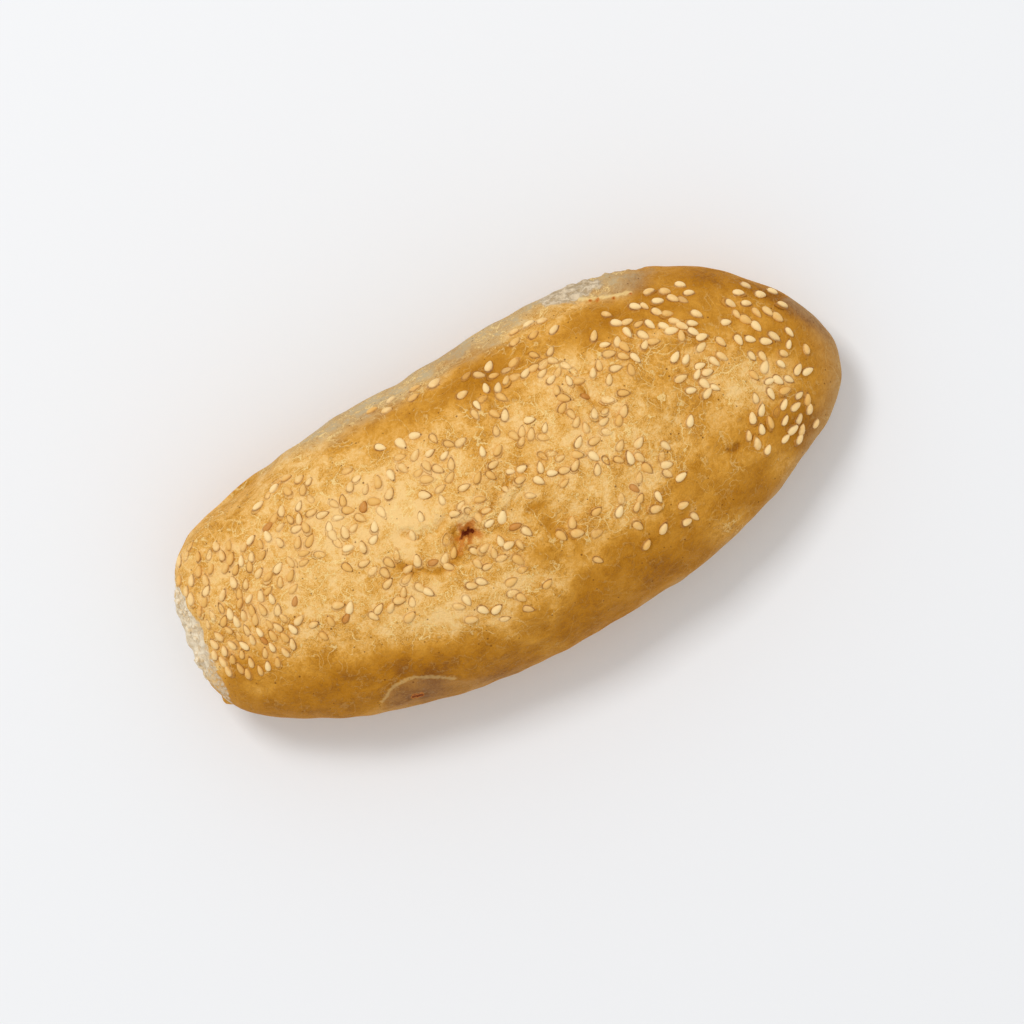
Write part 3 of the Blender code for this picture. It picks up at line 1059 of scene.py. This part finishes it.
@dataclass
class Crust:
    """The roll's crust and torn crumb, one closed surface."""

    form: RollForm
    browning: Browning
    cuts: int = 47
    top_from: float = -0.30
    piece: bpy.types.Object | None = field(default=None, init=False)

    def build(self) -> bpy.types.Object:
        """Draws a ball of squares out to the roll.

        Returns:
            The crust.
        """
        bpy.ops.object.select_all(action="DESELECT")
        bpy.ops.mesh.primitive_cube_add(size=2)
        self.piece = bpy.context.object
        self.piece.name = self.piece.data.name = "roll_crust"
        self.halve_faces(self.cuts, lambda direction: True)
        self.halve_long_edges()
        self.halve_faces(1, lambda direction: direction.z > self.top_from)
        self.halve_faces(1, self.is_fine)
        mesh = self.piece.data
        for vertex in mesh.vertices:
            vertex.co = self.form.draw_out(vertex.co.normalized())
        mesh.update()
        normals = [vertex.normal.copy() for vertex in mesh.vertices]
        for vertex, normal in zip(mesh.vertices, normals, strict=True):
            vertex.co += normal * self.form.relief(vertex.co)
            vertex.co.z = max(vertex.co.z, 0)
            vertex.co *= MM
        mesh.update()
        select_only(self.piece)
        bpy.ops.object.shade_smooth()
        return self.piece

    def halve_faces(self, cuts: int, wanted: Callable[[Vector], bool]) -> None:
        """Cuts up the faces whose direction from the middle is wanted.

        Args:
            cuts: How many cuts each edge gets.
            wanted: Whether a face in this direction is cut up.
        """
        mesh = self.piece.data
        for polygon in mesh.polygons:
            polygon.select = wanted(polygon.center.normalized())
        for edge in mesh.edges:
            edge.select = False
        for vertex in mesh.vertices:
            vertex.select = False
        bpy.ops.object.mode_set(mode="EDIT")
        bpy.ops.mesh.select_mode(type="FACE")
        bpy.ops.mesh.subdivide(number_cuts=cuts, ngon=False)
        bpy.ops.object.mode_set(mode="OBJECT")

    def halve_long_edges(self) -> None:
        """Cuts the edges along the roll in two, as it is twice as long as it is wide."""
        mesh = self.piece.data
        bpy.ops.object.mode_set(mode="EDIT")
        bpy.ops.mesh.select_mode(type="EDGE")
        bpy.ops.mesh.select_all(action="DESELECT")
        bpy.ops.object.mode_set(mode="OBJECT")
        for edge in mesh.edges:
            run = mesh.vertices[edge.vertices[0]].co - mesh.vertices[edge.vertices[1]].co
            edge.select = abs(run.x) > 1e-4
        bpy.ops.object.mode_set(mode="EDIT")
        bpy.ops.mesh.subdivide(number_cuts=1, ngon=False)
        bpy.ops.object.mode_set(mode="OBJECT")

    def is_fine(self, direction: Vector) -> bool:
        """Whether the crust has fine relief in this direction from the middle.

        Args:
            direction: The direction.

        Returns:
            Whether its faces are cut once more.
        """
        point = self.form.draw_out(direction)
        torn = max(self.form.torn_end(point), self.form.torn_patch(point))
        return torn > 0.05 or self.form.pull(point) > 0.25 or self.browning.off_lip(point) < 1.1

    def dress(self, material: bpy.types.Material) -> None:
        """Stores what each point is like and gives the crust its finish.

        Args:
            material: The finish.
        """
        mesh = self.piece.data
        points = [vertex.co / MM for vertex in mesh.vertices]
        sources = {
            Trait.BAKE_AND_RELIEF_SHADE: self.browning.bake,
            Trait.SKIN: self.browning.skin,
            Trait.BURN: self.browning.burn,
            Trait.CRUMB: self.form.torn_end,
            Trait.PATCH: self.browning.crumbly,
            Trait.LIP: self.browning.pale_lip,
            Trait.PULL: self.form.pull,
        }
        for trait, value_at in sources.items():
            set_trait(mesh, trait, [value_at(point) for point in points])
        mesh.materials.append(material)
        hand_over(self.piece)


@dataclass(frozen=True)
class SeedPatch:
    """An oval of crust with seeds strewn on it, seen from above, in mm."""

    x: float
    y: float
    half_length: float
    half_width: float
    count: int
    grain_deg: float = 0
    spread_deg: float = 90


def make_patches(*rows: tuple[float, ...]) -> tuple[SeedPatch, ...]:
    """Makes a seed patch of each row of x, y, half length, half width, count, grain and spread."""
    return tuple(SeedPatch(*row) for row in rows)


@dataclass(frozen=True)
class SeedStyle:
    """How a seed sits in the crust.

    Its profile runs from the top out and down as (share of half width, height), and its first
    own_rings rings are the seed itself. What follows is the crust raised round it.
    """

    lift: float
    own_colour: float
    profile: CURVE
    own_rings: int


DOME = ((0.42, 0.93), (0.72, 0.70), (0.92, 0.36), (1.0, 0.08))
COLLAR = ((1.07, 0.02), (1.20, 0.10), (1.42, -0.25))
SKIRT = ((1.13, 0.05), (1.3, -0.06), (1.5, -0.4))
RING = ((0.45, 0.04), (0.75, 0.03), (0.9, 0.04), (1.0, 0.16), (1.12, 0.19), (1.25, 0.06), (1.45, -0.3))
PROUD = SeedStyle(1.0, 1.0, ((0.42, 0.94), (0.72, 0.77), (0.93, 0.52), (1.0, 0.30), (0.97, 0.11), *SKIRT), 5)
BEDDED = SeedStyle(0.68, 0.8, (*DOME, *COLLAR), 4)
SUNK = SeedStyle(0.42, 0.4, (*DOME, *COLLAR), 4)
SOCKET = SeedStyle(1.0, 0.0, RING, 3)


@dataclass(frozen=True)
class Seed:
    """One seed's place from above, turn and length, in mm and radians."""

    x: float
    y: float
    turn: float
    length: float


@dataclass
class SesameSeeds:
    """The strewn seeds, as one mesh. The largest are where the CAD has its solid ones."""

    form: RollForm
    browning: Browning
    patches: tuple[SeedPatch, ...] = make_patches(
        (-76, 15, 8, 12, 30, 60, 30), (-73, -2, 11, 8, 36, 85, 30), (-63, 12, 8, 12, 24, 60, 45),
        (-50, 24, 9, 8, 20, 50, 60), (-46, 12, 8, 7, 12), (-54, -5, 8, 5, 7), (-36, 14, 7, 10, 13),
        (-35, -6, 11, 9, 18), (-20, 17, 14, 8, 17), (-11, 10, 6, 12, 12), (-12, -7, 11, 8, 17),
        (-13, -20, 12, 7, 15, -30, 60), (-14, 33, 13, 2, 6, 10, 30), (6, 27, 6, 9, 13),
        (22, 28, 9, 8, 19, -10, 60), (28, 11, 9, 10, 22), (41, 21, 7, 8, 14), (54, 23, 10, 7, 20, -40, 35),
        (57, 7, 7, 9, 17), (75, 10, 9, 11, 23, -50, 40), (72, -3, 10, 6, 13), (68, -15, 10, 6, 20, 50, 50),
        (8, 1, 9, 6, 9), (30, -10, 11, 10, 20), (25, -24, 16, 4, 7), (12, -13, 7, 6, 5), (0, 3, 76, 24, 14),
        (6, 11, 11, 9, 10), (18, 4, 8, 8, 8),
    )
    scatter_seed: int = 7
    length: float = 3.15
    length_spread: float = 0.22
    gap: float = 2.15
    bare_radius: float = 4.2
    tries: int = 60
    width_share: float = 0.58
    thickness: float = 1.05
    taper: float = 0.28
    sides: int = 12
    round_end_x: float = 42
    left_end_x: float = -55
    proud_shares: tuple[float, float, float] = (0.76, 0.58, 0.88)
    dense_end_x: float = -45
    mean_toasts: tuple[float, float, float] = (0.43, 0.37, 0.14)
    toast_spread: float = 0.22
    dark_tip_share: float = 0.35
    tip_x: PAIR = (0.38, 0.5)
    toasted: CURVE = (
        (-34.2, 14.4), (30.7, 13.5), (-57.0, 20.9), (-70.6, -2.4), (-61.1, 3.2), (-51.0, -7.3),
        (-1.4, -7.1), (-23.5, -5.4), (27.0, -10.6),
    )
    piece: bpy.types.Object | None = field(default=None, init=False)

    def strew(self) -> list[Seed]:
        """Draws each seed's place, as the CAD does.

        Returns:
            The seeds, largest first.
        """
        draw = random.Random(self.scatter_seed)
        seeds: list[Seed] = []
        for patch in self.patches:
            left = patch.count
            for _ in range(patch.count * self.tries):
                if not left:
                    break
                angle, out = draw.uniform(0, math.tau), math.sqrt(draw.random())
                x = patch.x + patch.half_length * out * math.cos(angle)
                y = patch.y + patch.half_width * out * math.sin(angle)
                turn = math.radians(patch.grain_deg + draw.uniform(-1, 1) * patch.spread_deg)
                length = draw.gauss(self.length, self.length_spread)
                clear = math.hypot(x - self.form.crack[0], y - self.form.crack[1]) > self.bare_radius
                if clear and all(math.hypot(x - seed.x, y - seed.y) > self.gap for seed in seeds):
                    seeds.append(Seed(x, y, turn, length))
                    left -= 1
        return sorted(seeds, key=lambda seed: -seed.length)

    def by_zone(self, x: float, left_end: float, values: tuple[float, float, float]) -> float:
        """Picks the value for the left end, the middle or the round end of the roll."""
        return values[2] if x > self.round_end_x else values[0] if x < left_end else values[1]

    def style_of(self, seed: Seed, draw: random.Random) -> SeedStyle:
        """Draws how a seed sits: most are proud at the ends, and more are bedded in the middle.

        Args:
            seed: The seed.
            draw: Where the choice comes from.

        Returns:
            The style.
        """
        proud = self.by_zone(seed.x, self.left_end_x, self.proud_shares)
        roll = draw.random()
        if roll < proud:
            return PROUD
        if roll > 0.975:
            return SOCKET
        return BEDDED if roll < proud + (1 - proud) * 0.6 else SUNK

    def model_one(self, style: SeedStyle) -> bpy.types.Mesh:
        """Models a seed of unit length, a pointed dome, with the crust that holds it.

        Args:
            style: How it sits.

        Returns:
            Its mesh, whose attributes say what is seed and where its dark rim of browning and painted contact
            shade lies.
        """
        bpy.ops.object.select_all(action="DESELECT")
        rows = len(style.profile) + 1
        bpy.ops.mesh.primitive_uv_sphere_add(segments=self.sides, ring_count=rows, radius=1)
        ball = bpy.context.object
        rings = sorted({round(vertex.co.z, 4) for vertex in ball.data.vertices}, reverse=True)
        top = style.profile[0][1] + (0.06 if style.own_colour else 0.0)
        bottom = style.profile[-1][1] - 0.1
        own, outline_and_contact_shade = [], []
        for vertex in ball.data.vertices:
            ring = rings.index(round(vertex.co.z, 4))
            own.append(style.own_colour if ring <= style.own_rings else 0.0)
            # The dark rim is strongest at the seed's edge ring and fades from it: browning and painted
            # contact shade.
            falls = 0.65 if ring <= style.own_rings else 0.36
            outline_and_contact_shade.append(max(0.0, 1 - falls * abs(ring - style.own_rings)))
            if ring in (0, len(rings) - 1):
                vertex.co = Vector((0, 0, bottom if ring else top))
            else:
                radius, height = style.profile[ring - 1]
                out = Vector((vertex.co.x, vertex.co.y, 0)).normalized() * radius
                vertex.co = Vector((out.x, out.y, height))
            point = max(0.0, vertex.co.x) ** 3
            vertex.co.y *= self.width_share * (1 - self.taper * vertex.co.x - 0.12 * point)
            vertex.co.x /= 2
            vertex.co.y /= 2
        mesh = ball.data
        set_trait(mesh, Trait.OWN_COLOUR, own)
        set_trait(mesh, Trait.OUTLINE_AND_CONTACT_SHADE, outline_and_contact_shade)
        bpy.data.objects.remove(ball)
        return mesh

    def build(self, crust: bpy.types.Object) -> bpy.types.Object:
        """Lays a copy of the seed at each place on the crust and joins them.

        Args:
            crust: The finished crust.

        Returns:
            The seeds.
        """
        surface = BVHTree.FromObject(crust, bpy.context.evaluated_depsgraph_get())
        models = {style: self.model_one(style) for style in (PROUD, BEDDED, SUNK, SOCKET)}
        draw = random.Random(self.scatter_seed + 1)
        seeds = self.strew()
        toasted = {min(seeds, key=lambda seed: math.hypot(seed.x - x, seed.y - y)) for x, y in self.toasted}
        copies = []
        for seed in seeds:
            hit, normal, _, _ = surface.ray_cast(Vector((seed.x * MM, seed.y * MM, 1)), Vector((0, 0, -1)))
            style = BEDDED if seed in toasted else self.style_of(seed, draw)
            if hit is None or max(self.form.torn_end(hit / MM), self.form.torn_patch(hit / MM)) > 0.3:
                continue
            copies.append(self.lay(models[style], seed, style, hit, normal, draw, seed in toasted))
        join(copies)
        self.piece = bpy.context.object
        self.piece.name = self.piece.data.name = "sesame_seeds"
        bpy.ops.object.shade_smooth()
        return self.piece

    def lay(
        self,
        model: bpy.types.Mesh,
        seed: Seed,
        style: SeedStyle,
        hit: Vector,
        normal: Vector,
        draw: random.Random,
        toasted: bool,
    ) -> bpy.types.Object:
        """Lays one copy of the seed on the crust.

        Args:
            model: The unit seed.
            seed: Its place, turn and length.
            style: How it sits.
            hit: The crust's point under it, in metres.
            normal: The crust's normal there.
            draw: Where its own small differences come from.
            toasted: Whether it is toasted brown.

        Returns:
            The copy, with its attributes.
        """
        along = Vector((math.cos(seed.turn), math.sin(seed.turn), 0))
        along = (along - along.dot(normal) * normal).normalized()
        tip, roll = (0.10, 0.16) if style is PROUD else (0.03, 0.05)
        tipped = Matrix.Rotation(draw.gauss(0, tip), 3, normal.cross(along))
        tilt = tipped @ Matrix.Rotation(draw.gauss(0, roll), 3, along)
        up = tilt @ normal
        along = (tilt @ along).normalized()
        turn = Matrix((along, up.cross(along), up)).transposed().to_4x4()
        thickness = self.thickness * style.lift * draw.uniform(0.85, 1.12)
        small = smooth_step(-45, -62, seed.x)
        length = seed.length * draw.uniform(0.93, 1.05) * (1 - 0.06 * small)
        width = draw.uniform(0.86, 1.08) * (1 - 0.08 * small)
        size = Matrix.Diagonal((length * MM, length * width * MM, thickness * MM, 1))
        mesh = model.copy()
        dark_tip = 1.0 if style is not SOCKET and draw.random() < self.dark_tip_share else 0.0
        tips = [dark_tip * smooth_step(*self.tip_x, vertex.co.x) for vertex in mesh.vertices]
        set_trait(mesh, Trait.TIP, tips)
        mesh.transform(Matrix.Translation(hit) @ turn @ size)
        mean_toast = self.by_zone(seed.x, self.dense_end_x, self.mean_toasts)
        toast = 1.15 if toasted else min(max(draw.gauss(mean_toast, self.toast_spread), 0), 0.85)
        set_trait(mesh, Trait.TOAST, [toast] * len(mesh.vertices))
        # How strong this seed's dark rim of browning and painted contact shade is.
        browned_and_shaded = draw.uniform(0.45, 1.15)
        outline_and_contact_shade = mesh.attributes[Trait.OUTLINE_AND_CONTACT_SHADE.value].data
        outline_and_contact_shade.foreach_set("value", [min(1.0, browned_and_shaded * item.value) for item in outline_and_contact_shade])
        points = [vertex.co / MM for vertex in mesh.vertices]
        set_trait(mesh, Trait.BAKE_AND_RELIEF_SHADE, [self.browning.bake(point) for point in points])
        set_trait(mesh, Trait.SKIN, [self.browning.skin(point) for point in points])
        copy = bpy.data.objects.new("seed", mesh)
        bpy.context.scene.collection.objects.link(copy)
        return copy

    def dress(self, material: bpy.types.Material) -> None:
        """Gives the seeds their finish.

        Args:
            material: The finish.
        """
        self.piece.data.materials.clear()
        self.piece.data.materials.append(material)
        hand_over(self.piece)


@dataclass
class TornCrumbs:
    """The small ragged lumps that stand on the torn end, as one mesh."""

    form: RollForm
    end_lumps: int = 120
    smallest: float = 0.35
    largest: float = 1.0
    reach: float = 0.93
    outside_x: float = -120
    least_torn: float = 0.55
    scatter_seed: int = 19
    piece: bpy.types.Object | None = field(default=None, init=False)

    def build(self, crust: bpy.types.Object) -> bpy.types.Object:
        """Sets lumps on the torn end.

        Args:
            crust: The finished crust.

        Returns:
            The crumbs.
        """
        surface = BVHTree.FromObject(crust, bpy.context.evaluated_depsgraph_get())
        draw = random.Random(self.scatter_seed)
        middle_y, middle_z = self.form.torn_end_middle
        half_y, half_z = self.form.torn_end_half
        lumps = []
        for _ in range(self.end_lumps):
            angle, out = draw.uniform(0, math.tau), self.reach * draw.uniform(0.2, 1) ** 0.3
            y, z = middle_y + half_y * out * math.cos(angle), middle_z + half_z * out * math.sin(angle)
            lumps.append(self.set_lump(surface, Vector((self.outside_x, y, z)), draw))
        join([lump for lump in lumps if lump])
        self.piece = bpy.context.object
        self.piece.name = self.piece.data.name = "torn_crumbs"
        bpy.ops.object.shade_smooth()
        return self.piece

    def set_lump(self, surface: BVHTree, start: Vector, draw: random.Random) -> bpy.types.Object | None:
        """Sets one uneven lump where a line along the roll meets torn crumb.

        Args:
            surface: The crust's surface, in metres.
            start: Where the line starts, in mm.
            draw: Where the lump's form comes from.

        Returns:
            The lump, or None where the line meets crust.
        """
        hit, normal, _, _ = surface.ray_cast(start * MM, Vector((1, 0, 0)))
        if hit is None or self.form.torn_end(hit / MM) < self.least_torn:
            return None
        bpy.ops.mesh.primitive_ico_sphere_add(subdivisions=1, radius=1)
        lump = bpy.context.object
        size = draw.uniform(self.smallest, self.largest)
        stretch = Vector((draw.uniform(0.6, 1.5), draw.uniform(0.6, 1.5), draw.uniform(0.5, 1.0)))
        turn = normal.to_track_quat("Z", "Y") @ Quaternion((0, 0, 1), draw.uniform(0, math.tau))
        for vertex in lump.data.vertices:
            sides = zip(vertex.co, stretch, strict=True)
            uneven = Vector([side * share * draw.uniform(0.65, 1.3) for side, share in sides])
            vertex.co = hit + (turn @ uneven) * size * MM
        return lump

    def dress(self, material: bpy.types.Material) -> None:
        """Gives the crumbs their finish."""
        self.piece.data.materials.append(material)
        hand_over(self.piece)


@dataclass
class Studio:
    """The pale floor, the soft light from the upper left and the camera above."""

    image_turn_deg: float = -27.6
    aim: tuple[float, float, float] = (-1.9 * MM, -3.6 * MM, 22 * MM)
    view_width: float = 256 * MM
    distance: float = 1.5
    sensor: float = 36
    floor_size: float = 8
    floor_colour: RGBA = (0.853, 0.862, 0.878, 1)
    world_colour: RGBA = (1.0, 1.0, 1.0, 1)
    world_strength: float = 0.73
    key_power: float = 17.5
    key_size: float = 0.55
    key_from: tuple[float, float, float] = (-0.72, 0.72, 1.95)

    def build(self) -> None:
        """Sets the floor, world, lights and camera."""
        self.lay_floor()
        self.light()
        self.place_camera()

    def lay_floor(self) -> None:
        """Lays the matt pale floor under the roll."""
        bpy.ops.object.select_all(action="DESELECT")
        bpy.ops.mesh.primitive_plane_add(size=self.floor_size)
        floor = bpy.context.object
        floor.name = "studio_floor"
        material, wire = start_material("studio_floor")
        wire.shade({"Base Color": self.floor_colour, "Roughness": 0.9, "Specular IOR Level": 0.0})
        floor.data.materials.append(material)

    def light(self) -> None:
        """Sets the even sky and a large soft key light at the picture's upper left."""
        world = bpy.data.worlds.new("studio_sky")
        world.use_nodes = True
        background = world.node_tree.nodes["Background"]
        background.inputs["Color"].default_value = self.world_colour
        background.inputs["Strength"].default_value = self.world_strength
        bpy.context.scene.world = world
        turn = Matrix.Rotation(math.radians(self.image_turn_deg), 3, "Z")
        place = turn @ Vector(self.key_from)
        lamp = bpy.data.lights.new("key_light", "AREA")
        lamp.size = self.key_size
        lamp.energy = self.key_power
        key = bpy.data.objects.new("key_light", lamp)
        key.location = place
        key.rotation_euler = (-place).to_track_quat("-Z", "Y").to_euler()
        bpy.context.scene.collection.objects.link(key)
        bpy.context.scene.view_settings.view_transform = "Standard"

    def place_camera(self) -> None:
        """Hangs the camera straight above, turned as the picture is."""
        data = bpy.data.cameras.new("camera")
        data.sensor_width = self.sensor
        data.lens = self.sensor * self.distance / self.view_width
        camera = bpy.data.objects.new("camera", data)
        camera.location = Vector(self.aim) + Vector((0, 0, self.distance))
        camera.rotation_euler = (0, 0, math.radians(self.image_turn_deg))
        bpy.context.scene.collection.objects.link(camera)
        bpy.context.scene.camera = camera


def main() -> None:
    """Builds and dresses each piece."""
    logging.basicConfig(level=logging.INFO, format="%(name)s: %(message)s")
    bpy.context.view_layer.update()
    form = RollForm()
    browning = Browning(form)
    crust_finish = CrustFinish()
    group = crust_finish.group()

    crust = Crust(form, browning)
    crust.build()
    crust.dress(crust_finish.material(group))
    seeds = SesameSeeds(form, browning)
    seeds.build(crust.piece)
    seeds.dress(SesameFinish().material(group))
    crumbs = TornCrumbs(form)
    crumbs.build(crust.piece)
    crumbs.dress(CrumbFinish().material())
    Studio().build()

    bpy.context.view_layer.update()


if __name__ == "__main__":
    main()
